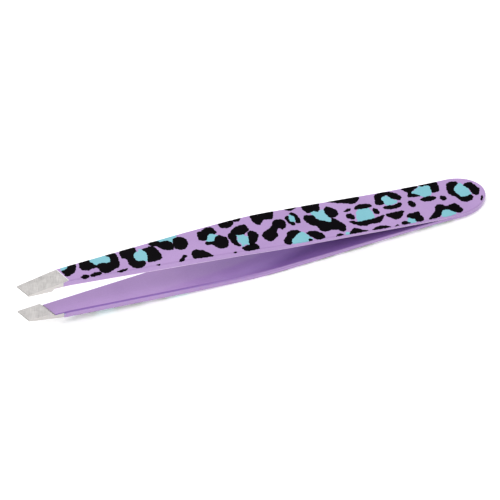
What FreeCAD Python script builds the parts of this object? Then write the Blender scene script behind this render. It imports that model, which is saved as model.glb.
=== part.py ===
import FreeCAD, Part
import math
import os

import Sketcher

# Slant tweezers: two spring-steel blades welded together at the tail, enamelled and printed.
# The blades are drawn about their mid-plane: X runs from the tail end (0) to the tips (-X),
# Y runs across the blades and Z opens them. At the end every piece is tilted by one Placement,
# so that the tweezers lie on their lower blade on a table at Z = 0.

doc = FreeCAD.newDocument("slant_tweezers")
sheet = doc.addObject("Spreadsheet::Sheet", "sizes")

# Millimetres and degrees. Distances "from the tail" run along X from the tail end of the steel.
SIZES = (
    ("blade_length", 95.0),
    ("tail_width", 10.06),
    ("knee_width", 9.78),
    ("knee_from_tail", 45.4),         # where the sides begin to taper towards the tip
    ("cap_length", 6.6),              # elliptical round of the tail end
    ("tip_far_side", 1.2),            # leading edge, far corner, from the centre line
    ("tip_near_side", 2.0),           # leading edge, near corner, from the centre line
    ("near_shoulder", 1.95),          # near side where it stops tapering, from the centre line
    ("shoulder_from_tip", 9.5),
    ("slant_angle", 22.9),            # leading edge, from square across
    ("weld_length", 9.5),             # the blades touch this far from the tail
    ("rear_spread", 4.09),            # inner face, from the mid-plane, tail to bend
    ("front_spread", 0.97),           # inner face, from the mid-plane, bend to tip
    ("bend_from_tail", 49.3),
    ("bend_radius", 150.0),
    ("parting_radius", 80.0),         # where the blades part in front of the weld
    ("plan_radius", 120.0),           # blends the two straight stretches of each side
    ("tail_thickness", 0.54),         # steel, from the tail to thinning_end
    ("front_thickness", 1.34),        # steel, from thinning_start to the tip
    ("thinning_start", 60.0),
    ("thinning_end", 20.0),
    ("edge_radius", 0.2),             # rounded long edges of the steel
    ("grind_length", 7.65),           # outside of the tip, back from the leading edge
    ("edge_thickness", 0.35),         # of the leading edge
    ("pad_length", 4.4),              # raised gripping pad, back from the leading edge
    ("pad_ramp", 0.45),
    ("pad_height", 0.4778),           # of the leading edge above the inner face
    ("pad_relief", 0.8),              # the pads open backwards by this when the edges meet
    ("closed_clearance", 0.02),       # leading edge to mid-plane when closed
    ("flexure_from_tail", 27.0),      # effective bending point of each arm
    ("flexure_slit", 0.1),
    ("enamel", 0.08),
    ("enamel_side_end", 8.4),         # bare sides, back from the tip
    ("enamel_inner_end", 4.95),       # bare inner face, back from the leading edge
    ("ink", 0.02),
    ("print_margin", 0.5),            # plain enamel left along the rounded edges
    ("print_tail_gap", 1.1),          # plain enamel left round the tail end
    ("nugget_radius", 1.2),
    ("nugget_depth", 0.25),           # into each blade
    ("nugget_gap", 0.15),             # front weld to where the blades begin to part
    ("nugget_inset", 1.4),            # rear weld to the tail end
)
for row, (alias, value) in enumerate(SIZES, start=1):
    address = "A%d" % row
    sheet.set(address, str(value))
    sheet.setAlias(address, alias)
doc.recompute()

OVER = 3.0                            # how far a cutting tool runs past what it cuts
BROAD = "({tail_width} * 2)"          # reaches past both sides of a blade
WIDE = "({tail_width} * 4)"           # reaches past everything broad
STRAIGHT = 0.9999                     # cosine above which an edge lies along an axis
SAME = 1e-6                           # two lengths in mm this near are the same length


def cell(text):
    """An expression whose size names point at the sheet."""
    for alias, _ in sorted(SIZES, key=lambda size: -len(size[0])):
        text = text.replace("{%s}" % alias, "sizes.%s" % alias)
    return text


def number(expression):
    """What an expression of the sheet is worth now."""
    return float(sheet.evalExpression(cell(expression)))


# Heights of the blade above the mid-plane, as expressions of the sheet.
BEND_RISE = "(({bend_from_tail} - {weld_length}) * tan({rear_spread}))"
THINNING = "(({front_thickness} - {tail_thickness}) / ({thinning_start} - {thinning_end}))"
HINGE_RISE = "(({flexure_from_tail} - {weld_length}) * tan({rear_spread}))"
HINGE_STEEL = "({tail_thickness} + %s * ({flexure_from_tail} - {thinning_end}))" % THINNING
HINGE_HEIGHT = "(%s + %s / 2)" % (HINGE_RISE, HINGE_STEEL)
CONTACT = "({weld_length} - {parting_radius} * tan({rear_spread} / 2))"
BEND_STEEL = "({tail_thickness} + %s * ({bend_from_tail} - {thinning_end}))" % THINNING


def inner_height(from_tail):
    """Height of the inner face in front of the bend."""
    return "(%s + (%s - {bend_from_tail}) * tan({front_spread}))" % (BEND_RISE, from_tail)


# Each arm turns about its hinge until its leading edge is at the closed clearance.
EDGE_HEIGHT = "(%s - {pad_height})" % inner_height("{blade_length}")
EDGE_RISE = "(%s - %s)" % (EDGE_HEIGHT, HINGE_HEIGHT)
EDGE_REACH = "sqrt(({blade_length} - {flexure_from_tail}) ^ 2 + %s ^ 2)" % EDGE_RISE
CLOSING_ANGLE = ("((acos(({closed_clearance} - %s) / %s) - acos(%s / %s)) / 1 deg)"
                 % (HINGE_HEIGHT, EDGE_REACH, EDGE_RISE, EDGE_REACH))
PAD_SLOPE = "tan(%s - {pad_relief})" % CLOSING_ANGLE


def origin_plane(body, role):
    return next(item for item in body.Origin.OriginFeatures if item.Role == role)


def add_sketch(body, name, role):
    sketch = body.newObject("Sketcher::SketchObject", name)
    sketch.AttachmentSupport = [(origin_plane(body, role), "")]
    sketch.MapMode = "FlatFace"
    return sketch


def bind_point(sketch, geometry, end, horizontal, vertical):
    """Holds one end of a line at a place given by two expressions."""
    for kind, expression in (("DistanceX", horizontal), ("DistanceY", vertical)):
        index = sketch.addConstraint(
            Sketcher.Constraint(kind, -1, 1, geometry, end, number(expression)))
        sketch.setExpression("Constraints[%d]" % index, cell(expression))


def add_route(sketch, corners, closed):
    """Lines through corners given as (across, up) or (across, up, radius) expressions.

    A corner with a radius is rounded by an arc tangent to its two lines. Returns the first
    and the last line.
    """
    points = [FreeCAD.Vector(number(corner[0]), number(corner[1]), 0) for corner in corners]
    count = len(points)
    spans = count if closed else count - 1
    entry = list(points)
    leave = list(points)
    arcs = {}
    for index, corner in enumerate(corners):
        if len(corner) < 3:
            continue
        radius = number(corner[2])
        back = (points[index - 1] - points[index]).normalize()
        ahead = (points[(index + 1) % count] - points[index]).normalize()
        half_turn = (math.pi - back.getAngle(ahead)) / 2
        entry[index] = points[index] + back * (radius * math.tan(half_turn))
        leave[index] = points[index] + ahead * (radius * math.tan(half_turn))
        centre = points[index] + (back + ahead).normalize() * (radius / math.cos(half_turn))
        arcs[index] = (centre, radius, back.cross(ahead).z < 0)
    first = len(sketch.Geometry)
    for index in range(spans):
        sketch.addGeometry(Part.LineSegment(leave[index], entry[(index + 1) % count]))
    for index, corner in enumerate(corners):
        if not closed and index in (0, count - 1):
            continue
        before = first + (index - 1) % count
        after = first + index
        if index not in arcs:
            sketch.addConstraint(Sketcher.Constraint("Coincident", before, 2, after, 1))
            bind_point(sketch, after, 1, corner[0], corner[1])
            continue
        centre, radius, turns_left = arcs[index]
        ends = (entry[index], leave[index]) if turns_left else (leave[index], entry[index])
        angles = [math.atan2(end.y - centre.y, end.x - centre.x) for end in ends]
        circle = Part.Circle(centre, FreeCAD.Vector(0, 0, 1), radius)
        arc = sketch.addGeometry(Part.ArcOfCircle(circle, angles[0], angles[1]))
        mark = sketch.addGeometry(Part.Point(points[index]), True)
        bind_point(sketch, mark, 1, corner[0], corner[1])
        entry_end, leave_end = (1, 2) if turns_left else (2, 1)
        sketch.addConstraint(Sketcher.Constraint("Tangent", before, 2, arc, entry_end))
        sketch.addConstraint(Sketcher.Constraint("Tangent", after, 1, arc, leave_end))
        sketch.addConstraint(Sketcher.Constraint("PointOnObject", mark, 1, before))
        sketch.addConstraint(Sketcher.Constraint("PointOnObject", mark, 1, after))
        size = sketch.addConstraint(Sketcher.Constraint("Radius", arc, radius))
        sketch.setExpression("Constraints[%d]" % size, cell(corner[2]))
    return first, first + spans - 1


def bind_across(sketch, geometry, end, expression):
    """Holds the horizontal place of one point."""
    index = sketch.addConstraint(
        Sketcher.Constraint("DistanceX", -1, 1, geometry, end, number(expression)))
    sketch.setExpression("Constraints[%d]" % index, cell(expression))


def add_plan(sketch, skin):
    """Outline seen from above: tapered sides, slanted tip and an elliptical tail.

    skin widens it all round.
    """
    near_tip_x = "-{blade_length} + ({tip_far_side} + {tip_near_side}) * tan({slant_angle})"
    route = (
        ("-{cap_length}", "-{tail_width} / 2 - %s" % skin),
        ("-{knee_from_tail}", "-{knee_width} / 2 - %s" % skin, "{plan_radius}"),
        ("-{blade_length} + {shoulder_from_tip}", "-{near_shoulder} - %s" % skin),
        (near_tip_x, "-{tip_near_side} - %s" % skin),
        ("-{blade_length}", "{tip_far_side} + %s" % skin),
        ("-{knee_from_tail}", "{knee_width} / 2 + %s" % skin, "{plan_radius}"),
        ("-{cap_length}", "{tail_width} / 2 + %s" % skin),
    )
    first, last = add_route(sketch, route, closed=False)
    centre = FreeCAD.Vector(-number("{cap_length}"), 0, 0)
    apex = FreeCAD.Vector(number(skin), 0, 0)
    oval = Part.Ellipse(apex, sketch.Geometry[last].EndPoint, centre)
    arc = sketch.addGeometry(Part.ArcOfEllipse(oval, -math.pi / 2, math.pi / 2))
    sketch.exposeInternalGeometry(arc)
    major = arc + 1
    sketch.addConstraint(Sketcher.Constraint("Coincident", arc, 1, first, 1))
    sketch.addConstraint(Sketcher.Constraint("Coincident", arc, 2, last, 2))
    sketch.addConstraint(Sketcher.Constraint("PointOnObject", major, 1, -1))
    sketch.addConstraint(Sketcher.Constraint("PointOnObject", arc, 3, -1))
    bind_across(sketch, arc, 3, "-{cap_length}")
    bind_across(sketch, major, 1, "0 + %s" % skin)
    bind_across(sketch, first, 1, "-{cap_length}")
    bind_point(sketch, last, 2, route[-1][0], route[-1][1])


def pad_both_ways(body, name, sketch, length):
    pad = body.newObject("PartDesign::Pad", name)
    pad.Profile = sketch
    pad.Midplane = True
    pad.setExpression("Length", cell(length))
    doc.recompute()
    return pad


def fillet_edges(body, name, base, chosen, radius):
    """Rounds every edge of the base feature that chosen(edge) accepts."""
    names = ["Edge%d" % index for index, edge in enumerate(base.Shape.Edges, start=1)
             if chosen(edge)]
    fillet = body.newObject("PartDesign::Fillet", name)
    fillet.Base = (base, names)
    fillet.setExpression("Radius", cell(radius))
    doc.recompute()
    return fillet


def side_profile(skin, outer):
    """Corners of a blade seen from the side, skin lower and outer higher than the steel."""
    behind = "%g" % OVER
    ahead = "({blade_length} + %g)" % OVER
    down = "- %s" % skin
    up = "+ %s" % outer
    return (
        (behind, "0 %s" % down),
        ("-{weld_length}", "0 %s" % down, "{parting_radius} + %s" % skin),
        ("-{bend_from_tail}", "%s %s" % (BEND_RISE, down), "{bend_radius} - %s" % skin),
        ("-" + ahead, "%s %s" % (inner_height(ahead), down)),
        ("-" + ahead, "%s + {front_thickness} %s" % (inner_height(ahead), up)),
        ("-{thinning_start}",
         "%s + {front_thickness} %s" % (inner_height("{thinning_start}"), up)),
        ("-{bend_from_tail}", "%s + %s %s" % (BEND_RISE, BEND_STEEL, up),
         "{bend_radius} + (%s)" % outer),
        ("-{thinning_end}",
         "({thinning_end} - {weld_length}) * tan({rear_spread}) + {tail_thickness} %s" % up),
        ("-{weld_length}", "{tail_thickness} %s" % up, "{parting_radius} - (%s)" % outer),
        (behind, "{tail_thickness} %s" % up),
    )


def side_slab(name, skin, outer):
    """The side profile drawn out wider than the blade."""
    body = doc.addObject("PartDesign::Body", name)
    profile = add_sketch(body, name + "_profile", "XZ_Plane")
    add_route(profile, side_profile(skin, outer), closed=True)
    pad_both_ways(body, name + "_slab", profile, BROAD)
    return body


def is_straight(edge, axis):
    """Whether an edge is a straight line along an axis."""
    if edge.Curve.TypeId != "Part::GeomLine":
        return False
    return abs(edge.Curve.Direction.dot(axis)) > STRAIGHT


def blade_form(name, skin):
    """A whole blade without its tip grinding, skin larger all round than the steel."""
    body = side_slab(name, skin, skin)
    plan = add_sketch(body, name + "_plan", "XY_Plane")
    behind = "%g" % (2 * OVER)
    ahead = "-({blade_length} + %g)" % (2 * OVER)
    aside = "{tail_width} + %g" % OVER
    add_route(plan, ((behind, "-(%s)" % aside), (behind, aside), (ahead, aside),
                     (ahead, "-(%s)" % aside)), closed=True)
    add_plan(plan, skin)
    doc.recompute()
    pocket = body.newObject("PartDesign::Pocket", name + "_outside")
    pocket.Profile = plan
    pocket.Type = 1
    pocket.Midplane = True
    doc.recompute()
    tip_end = -number("{blade_length} - ({tip_far_side} + {tip_near_side}) * tan({slant_angle})")

    def is_long_edge(edge):
        upright = is_straight(edge, FreeCAD.Vector(0, 0, 1))
        across = is_straight(edge, FreeCAD.Vector(0, 1, 0))
        return not (upright or across) and edge.CenterOfMass.x > tip_end

    fillet_edges(body, name + "_edges", pocket, is_long_edge, "{edge_radius} + %s" % skin)
    return body


def plan_prism(name, skin):
    """The outline seen from above, drawn out well past both faces of both blades."""
    body = doc.addObject("PartDesign::Body", name)
    plan = add_sketch(body, name + "_plan", "XY_Plane")
    add_plan(plan, skin)
    pad_both_ways(body, name + "_prism", plan, WIDE)
    return body


def slanted_tool(name, corners):
    """A cutter whose edges run along the leading edge.

    Its corners are (distance back from the leading edge, height) expressions.
    """
    body = doc.addObject("PartDesign::Body", name)
    profile = add_sketch(body, name + "_profile", "XZ_Plane")
    add_route(profile, corners, closed=True)
    pad_both_ways(body, name + "_cutter", profile, WIDE)
    body.setExpression("Placement.Base.x", cell("-{blade_length}"))
    body.setExpression("Placement.Base.y", cell("{tip_far_side}"))
    body.setExpression("Placement.Rotation.Angle", cell("{slant_angle}"))
    doc.recompute()
    return body


def zone(name, rear, front):
    """A box across everything, from one distance from the tail to another."""
    box = doc.addObject("Part::Box", name)
    box.setExpression("Length", cell("(%s) - (%s)" % (front, rear)))
    box.setExpression("Width", cell(WIDE))
    box.setExpression("Height", cell(WIDE))
    box.setExpression("Placement.Base.x", cell("-(%s)" % front))
    box.setExpression("Placement.Base.y", cell("-%s / 2" % WIDE))
    box.setExpression("Placement.Base.z", cell("-%s / 2" % WIDE))
    return box


def boolean(kind, name, base, tool):
    result = doc.addObject("Part::" + kind, name)
    result.Base = base
    result.Tool = tool
    return result


def mirrored(source, name):
    """The lower blade's copy of an upper blade's piece."""
    copy = doc.addObject("Part::Mirroring", name)
    copy.Source = source
    copy.Normal = FreeCAD.Vector(0, 0, 1)
    return copy


def whole_steel():
    """One upper blade in one piece: form, raised pad, ground tip."""
    form = blade_form("steel_form", "0")
    stub = doc.addObject("PartDesign::Body", "pad_stub")
    profile = add_sketch(stub, "pad_stub_profile", "XZ_Plane")
    reach = "2 * {pad_length}"
    front = "-({blade_length} + %g)" % OVER
    rear = "-({blade_length} - %s)" % reach
    inside = "+ {front_thickness} / 2"
    add_route(profile, (
        (front, "%s + %g * %s" % (EDGE_HEIGHT, OVER, PAD_SLOPE)),
        (rear, "%s - %s * %s" % (EDGE_HEIGHT, reach, PAD_SLOPE)),
        (rear, "%s %s" % (inner_height("({blade_length} - %s)" % reach), inside)),
        (front, "%s %s" % (inner_height("({blade_length} + %g)" % OVER), inside)),
    ), closed=True)
    pad_both_ways(stub, "pad_stub_slab", profile, "{tail_width}")
    pad_end = "({blade_length} - {pad_length})"
    low = "(%s - {pad_length} * %s)" % (EDGE_HEIGHT, PAD_SLOPE)
    high = inner_height(pad_end)
    run = "({pad_ramp} / (%s - %s))" % (high, low)
    top = "(%s + %g)" % (high, OVER)
    ramp = slanted_tool("pad_ramp_tool", (
        ("{pad_length} - %s * %s" % (low, run), "0"),
        ("{pad_length} + %g" % (4 * OVER), "0"),
        ("{pad_length} + %g" % (4 * OVER), top),
        ("{pad_length} + (%s - %s) * %s" % (top, low, run), top),
    ))
    outline = plan_prism("steel_outline", "0")
    trimmed = boolean("Common", "pad_in_outline", stub, outline)
    raised = boolean("Cut", "raised_pad", trimmed, ramp)
    padded = boolean("Fuse", "padded_steel", form, raised)
    grind_end = inner_height("({blade_length} - {grind_length} / cos({slant_angle}))")
    grind_top = "(%s + {front_thickness})" % grind_end
    edge_top = "(%s + {edge_thickness})" % EDGE_HEIGHT
    slope = "((%s - %s) / {grind_length})" % (grind_top, edge_top)
    grind = slanted_tool("tip_grind", (
        ("-%g" % OVER, "%s - %g * %s" % (edge_top, OVER, slope)),
        ("{grind_length} + %g" % OVER, "%s + %g * %s" % (grind_top, OVER, slope)),
        ("-%g" % OVER, "%s + %g * %s" % (grind_top, OVER, slope)),
    ))
    return boolean("Cut", "steel", padded, grind), outline, grind


def cut_all(name, base, tools):
    """Cuts several tools out of a base, one after another."""
    for index, tool in enumerate(tools[:-1], start=1):
        base = boolean("Cut", "%s_%d" % (name, index), base, tool)
    return boolean("Cut", name, base, tools[-1])


sub_parts = []


def keep(piece, node):
    """Names a finished sub-part. No other object is built from it, so it is free to move."""
    piece.Label = node
    sub_parts.append(piece)
    return piece


steel, steel_outline, tip_grind = whole_steel()
lower_steel = mirrored(steel, "lower_steel")
heel_front = "({flexure_from_tail} - {flexure_slit} / 2)"
heel_zone = zone("heel_zone", "-%g" % OVER, heel_front)
arm_rear = "({flexure_from_tail} + {flexure_slit} / 2)"
arm_zone = zone("arm_zone", arm_rear, "{blade_length} + %g" % OVER)

# Steel: each blade in front of the flexure and behind it, and the welds between the two.
keep(boolean("Common", "upper_blade", steel, arm_zone), "upper_blade")
keep(boolean("Common", "lower_blade", lower_steel, arm_zone), "lower_blade")

NUGGET_SPAN = "(%s - {nugget_gap} - {nugget_inset} - 2 * {nugget_radius})" % CONTACT
nuggets = []
for place in range(2):
    nugget = doc.addObject("Part::Cylinder", "nugget_%d" % (place + 1))
    nugget.setExpression("Radius", cell("{nugget_radius}"))
    nugget.setExpression("Height", cell("2 * {nugget_depth}"))
    nugget.setExpression("Placement.Base.x", cell(
        "-({nugget_inset} + {nugget_radius} + %d * %s)" % (place, NUGGET_SPAN)))
    nugget.setExpression("Placement.Base.z", cell("-{nugget_depth}"))
    nuggets.append(nugget)
nugget_row = doc.addObject("Part::MultiFuse", "nugget_row")
nugget_row.Shapes = nuggets
keep(boolean("Common", "weld_nuggets", nugget_row, heel_zone), "weld_nuggets")

for side, blade in (("upper", steel), ("lower", lower_steel)):
    rear_half = boolean("Common", side + "_rear_half", blade, heel_zone)
    keep(boolean("Cut", side + "_blade_heel", rear_half, nugget_row), side + "_blade_heel")

# Enamel: a skin over the steel. It bridges the seam at the tail and is ground off the tips.
enamel_form = blade_form("enamel_form", "{enamel}")
lower_enamel_form = mirrored(enamel_form, "lower_enamel_form")
side_reach = zone("bare_side_zone", "{blade_length} - {enamel_side_end}",
                  "{blade_length} + %g" % OVER)
bare_sides = boolean("Cut", "bare_sides", side_reach, steel_outline)
above_blade = inner_height("{blade_length}") + " + {front_thickness} + %g" % OVER
bare_inside = slanted_tool("bare_inside", (
    ("-%g" % OVER, "0"),
    ("{enamel_inner_end}", "0"),
    ("{enamel_inner_end}", above_blade),
    ("-%g" % OVER, above_blade),
))
ground_skin = cut_all("ground_skin", enamel_form, (steel, bare_sides, bare_inside, tip_grind))
lower_ground_skin = mirrored(ground_skin, "lower_ground_skin")
keep(boolean("Common", "upper_enamel", ground_skin, arm_zone), "upper_enamel")
keep(boolean("Common", "lower_enamel", lower_ground_skin, arm_zone), "lower_enamel")

both_skins = boolean("Fuse", "both_skins", enamel_form, lower_enamel_form)
heel_skin = boolean("Common", "heel_skin", both_skins, heel_zone)
keep(cut_all("heel_enamel", heel_skin, (steel, lower_steel)), "heel_enamel")

# Printed ink: a film on the outer faces, clear of the rounded edges and of the tail end.
ink_slab = side_slab("ink_slab", "{enamel}", "{enamel} + {ink}")
print_outline = plan_prism("print_outline", "(0 - {print_margin})")
film = boolean("Common", "film", ink_slab, print_outline)
bare_film = cut_all("bare_film", film, (enamel_form, tip_grind))
above = zone("above_inner_face", "{print_tail_gap}", "{blade_length}")
above.setExpression("Placement.Base.z", cell("{tail_thickness} / 2"))
outer_film = boolean("Common", "outer_film", bare_film, above)
lower_film = mirrored(outer_film, "lower_film")
for side, ink in (("upper", outer_film), ("lower", lower_film)):
    keep(boolean("Common", side + "_print", ink, arm_zone), side + "_print")
    keep(boolean("Common", side + "_heel_print", ink, heel_zone), side + "_heel_print")
doc.recompute()

# At rest the lower blade lies on the table on its tail edge and on its bend. Both are round
# seen from the side: each is given here as (x, z, radius) in the drawing frame.
bend_arc = next(arc for arc in ink_slab.Group[0].Geometry
                if arc.TypeId == "Part::GeomArcOfCircle"
                and abs(arc.Radius - number("{bend_radius} + {enamel} + {ink}")) < SAME)
tail_round = (-number("{edge_radius}"), -number("{tail_thickness} - {edge_radius}"),
              number("{edge_radius} + {enamel}"))
bend_round = (bend_arc.Center.x, -bend_arc.Center.y, bend_arc.Radius)
reach_x = bend_round[0] - tail_round[0]
reach_z = tail_round[1] - bend_round[1]
lie_angle = math.atan2(reach_x, reach_z) + math.acos(
    (tail_round[2] - bend_round[2]) / math.hypot(reach_x, reach_z))
tilt = FreeCAD.Rotation(FreeCAD.Vector(0, 1, 0), math.degrees(lie_angle))
lowest = tilt.multVec(FreeCAD.Vector(tail_round[0], 0, tail_round[1])).z - tail_round[2]

for piece in sub_parts:
    piece.Placement = FreeCAD.Placement(FreeCAD.Vector(0, 0, -lowest), tilt)
doc.recompute()
ends = [piece.Shape.optimalBoundingBox(False, False) for piece in sub_parts]
middle = (min(end.XMin for end in ends) + max(end.XMax for end in ends)) / 2
for piece in sub_parts:
    piece.Placement = FreeCAD.Placement(FreeCAD.Vector(-middle, 0, -lowest), tilt)
doc.recompute()

failed = [item.Name for item in doc.Objects if {"Invalid", "Error"} & set(item.State)]
failed += [piece.Label for piece in sub_parts
           if piece.Shape.isNull() or not piece.Shape.isValid() or piece.Shape.Volume <= 0]
if failed:
    raise RuntimeError("not built: " + ", ".join(failed))

print("each arm closes by %.3f degrees" % number(CLOSING_ANGLE))
os.makedirs("parts", exist_ok=True)
for piece in sub_parts:
    piece.Shape.exportStep("parts/%s.step" % piece.Label)
    print("%-18s %8.3f mm3" % (piece.Label, piece.Shape.Volume))
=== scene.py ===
# %% [markdown]
# # Slant tweezers, enamelled and printed with leopard spots
# The real object is two long spring-steel blades, joined at the tail. Both are coated with
# lavender enamel, the outer faces carry a printed leopard pattern, and the tips are ground
# back to bare steel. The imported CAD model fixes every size, so this script loads
# it first and builds the finer skin, print and finishes around it.

# %% Load the fixed frame
import bmesh
import bpy
import math

import numpy as np
from mathutils import Matrix, Vector
from mathutils.geometry import delaunay_2d_cdt


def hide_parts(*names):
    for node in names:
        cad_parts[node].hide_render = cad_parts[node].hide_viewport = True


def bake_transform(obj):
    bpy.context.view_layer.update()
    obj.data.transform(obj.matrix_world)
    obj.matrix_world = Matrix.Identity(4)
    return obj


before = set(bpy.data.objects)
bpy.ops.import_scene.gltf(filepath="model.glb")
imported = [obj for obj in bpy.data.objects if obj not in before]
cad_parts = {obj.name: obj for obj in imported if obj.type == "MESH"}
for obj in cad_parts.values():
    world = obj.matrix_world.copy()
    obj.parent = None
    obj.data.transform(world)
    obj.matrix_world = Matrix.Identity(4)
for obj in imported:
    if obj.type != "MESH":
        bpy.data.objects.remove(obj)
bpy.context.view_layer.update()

MM = 0.001
print("CAD nodes:", sorted(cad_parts))

# %% [markdown]
# ## The drawing frame
# Tweezers are easiest to draw about the plane between the blades: X runs from the tail end
# (0) back to the tips (negative), Y runs across and Z opens them. The finished object lies
# on its lower blade, which is that drawing turned a few degrees. Every mesh below is made in
# the drawing frame in millimetres and then laid on the table by one matrix.

# %% The one matrix that lays the drawing on the table
LIE_ANGLE = math.radians(3.9584)
LIE_SHIFT = Vector((47.4552, 0.0, 0.605382)) * MM
LIE = Matrix.Translation(LIE_SHIFT) @ Matrix.Rotation(LIE_ANGLE, 4, "Y")
print("tip centre on the table:", LIE @ Vector((-95 * MM, 0, 0)))

# %% [markdown]
# ## Camera
# The view is from the near side, a little towards the tips and about 44 degrees above the
# blades. A long lens from far away keeps both blades nearly parallel, as a catalogue shows
# them. FRAMING slides the camera sideways and up, in millimetres. The camera stands in the
# drawing frame, so the same matrix carries it.

# %% Camera
AZIMUTH = math.radians(19.17)
ELEVATION = math.radians(43.97)
DISTANCE = 1759.0
AIM = Vector((-47.5, 0, 0))
FRAMING = (-0.571, -0.604)
LENS = 656.1

towards = Vector((math.sin(-AZIMUTH) * math.cos(ELEVATION),
                  -math.cos(-AZIMUTH) * math.cos(ELEVATION), math.sin(ELEVATION)))
right = Vector((math.cos(-AZIMUTH), math.sin(-AZIMUTH), 0))
up = towards.cross(right)
eye = AIM + towards * DISTANCE + right * FRAMING[0] + up * FRAMING[1]
stand = Matrix((right, up, towards)).transposed().to_4x4()
stand.translation = eye * MM

camera_data = bpy.data.cameras.new("camera")
camera_data.lens = LENS
camera_data.sensor_width = 36.0
camera_data.clip_end = 20.0
camera = bpy.data.objects.new("camera", camera_data)
camera.matrix_world = LIE @ stand
bpy.context.scene.collection.objects.link(camera)
bpy.context.scene.camera = camera
print("camera at", tuple(round(v, 3) for v in camera.matrix_world.translation))

# %% [markdown]
# ## Floor and light
# A white table and very soft light give an even, nearly shadowless look. Most of the light is
# the white surroundings. A large soft panel above adds the gentle gloss on the rounded long
# edges, a low one behind reaches under the upper blade, and a weak one in front lights the
# near sides. The table glows a little, as a lit acrylic table does, which takes most of the
# shadow away. Colours are shown as they are, without a film-like curve, so white stays white.

# %% Table and surroundings
scene = bpy.context.scene
scene.view_settings.view_transform = "Standard"

REACH = 3.0
TABLE_GLOW = 0.24
ROOM_LIGHT = 0.77

floor_mesh = bpy.data.meshes.new("floor")
floor_mesh.from_pydata([(-REACH, -REACH, 0), (REACH, -REACH, 0), (REACH, REACH, 0),
                        (-REACH, REACH, 0)], [], [(0, 1, 2, 3)])
floor = bpy.data.objects.new("floor", floor_mesh)
scene.collection.objects.link(floor)
paper = bpy.data.materials.new("white_paper")
paper.use_nodes = True
paper_shader = paper.node_tree.nodes["Principled BSDF"]
paper_shader.inputs["Base Color"].default_value = (0.93, 0.93, 0.93, 1)
paper_shader.inputs["Roughness"].default_value = 0.9
paper_shader.inputs["Specular IOR Level"].default_value = 0.1
paper_shader.inputs["Emission Color"].default_value = (1, 1, 1, 1)
paper_shader.inputs["Emission Strength"].default_value = TABLE_GLOW
floor_mesh.materials.append(paper)

world = bpy.data.worlds.new("white_room")
world.use_nodes = True
world.node_tree.nodes["Background"].inputs["Color"].default_value = (1, 1, 1, 1)
world.node_tree.nodes["Background"].inputs["Strength"].default_value = ROOM_LIGHT
scene.world = world
print("table", 2 * REACH, "m wide, room light", ROOM_LIGHT)


# %% Soft panels
def soft_panel(name, place, size, watts):
    """A rectangular light, (across, up) in metres, that faces the object."""
    data = bpy.data.lights.new(name, "AREA")
    data.shape = "RECTANGLE"
    data.size, data.size_y = size
    data.energy = watts
    lamp = bpy.data.objects.new(name, data)
    lamp.location = place
    lamp.rotation_euler = Vector(place).to_track_quat("Z", "Y").to_euler()
    scene.collection.objects.link(lamp)
    print(name, size, "m,", watts, "W")


soft_panel("overhead_panel", (-0.45, -0.35, 1.2), (0.9, 0.9), 6.5)
soft_panel("back_panel", (-0.05, 1.0, 0.62), (0.5, 0.14), 7.0)
soft_panel("near_panel", (-0.35, -1.1, 0.30), (0.9, 0.4), 1.5)

# %% [markdown]
# ## The rule of a blade
# Seen from the side a blade leaves its partner at the weld, rises straight to a gentle bend
# and runs on a little flatter; it also grows thicker from tail to bend. Seen from above, the
# sides run almost parallel to the knee and then taper to the slanted tip. Each rule is a few
# straight stretches joined by soft turns, so one small helper, a ramp with a soft start,
# writes all of them.

# %% Side and plan rules, in millimetres from the tail
BLADE_LENGTH = 95.0
WELD_END = 9.5
WELD_TURN = 2.86
BEND = 49.3
BEND_TURN = 4.09
REAR_SLOPE = math.tan(math.radians(4.09))
FRONT_SLOPE = math.tan(math.radians(0.97))
TAIL_STEEL = 0.54
THINNING = (20.0, 60.0)
THINNING_TURN = 1.0
THICKENING = 0.02
CAP_LENGTH = 6.6
TAIL_HALF = 5.03
KNEE = 45.4
KNEE_TURN = 4.24
KNEE_HALF = 4.89
KNEE_SLOPE = (KNEE_HALF - TAIL_HALF) / (KNEE - CAP_LENGTH)
TIP_FAR = 1.2
FAR_SLOPE = (TIP_FAR - KNEE_HALF) / (BLADE_LENGTH - KNEE)
SHOULDER = 85.5
SHOULDER_TURN = 0.05
SHOULDER_HALF = 1.95
NEAR_SLOPE = (SHOULDER_HALF - KNEE_HALF) / (SHOULDER - KNEE)
TIP_SLOPE = 0.05 / 8.15
COAT = 0.08
STEEL_ROUND = 0.2


def ramp(start, turn, s):
    """Zero before start, rising one for one after it, with a soft turn of that half length."""
    u = np.asarray(s, float) - start
    return np.where(u < -turn, 0, np.where(u > turn, u, (u + turn) ** 2 / (4 * turn)))


def inner_height(s):
    return (REAR_SLOPE * ramp(WELD_END, WELD_TURN, s)
            + (FRONT_SLOPE - REAR_SLOPE) * ramp(BEND, BEND_TURN, s))


def outer_height(s):
    thicker = ramp(THINNING[0], THINNING_TURN, s) - ramp(THINNING[1], THINNING_TURN, s)
    return inner_height(s) + (TAIL_STEEL + THICKENING * thicker)


def half_width(s, side):
    """Half width of the steel; side is +1 for the far side and -1 for the near one."""
    straight = TAIL_HALF + KNEE_SLOPE * (np.asarray(s, float) - CAP_LENGTH)
    far = straight + (FAR_SLOPE - KNEE_SLOPE) * ramp(KNEE, KNEE_TURN, s)
    near = (straight + (NEAR_SLOPE - KNEE_SLOPE) * ramp(KNEE, KNEE_TURN, s)
            + (TIP_SLOPE - NEAR_SLOPE) * ramp(SHOULDER, SHOULDER_TURN, s))
    return np.where(np.asarray(side) > 0, far, near)


print("blade thickness at tail, bend, tip:",
      [round(float(outer_height(s) - inner_height(s)), 2) for s in (5, 50, 90)])

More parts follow.
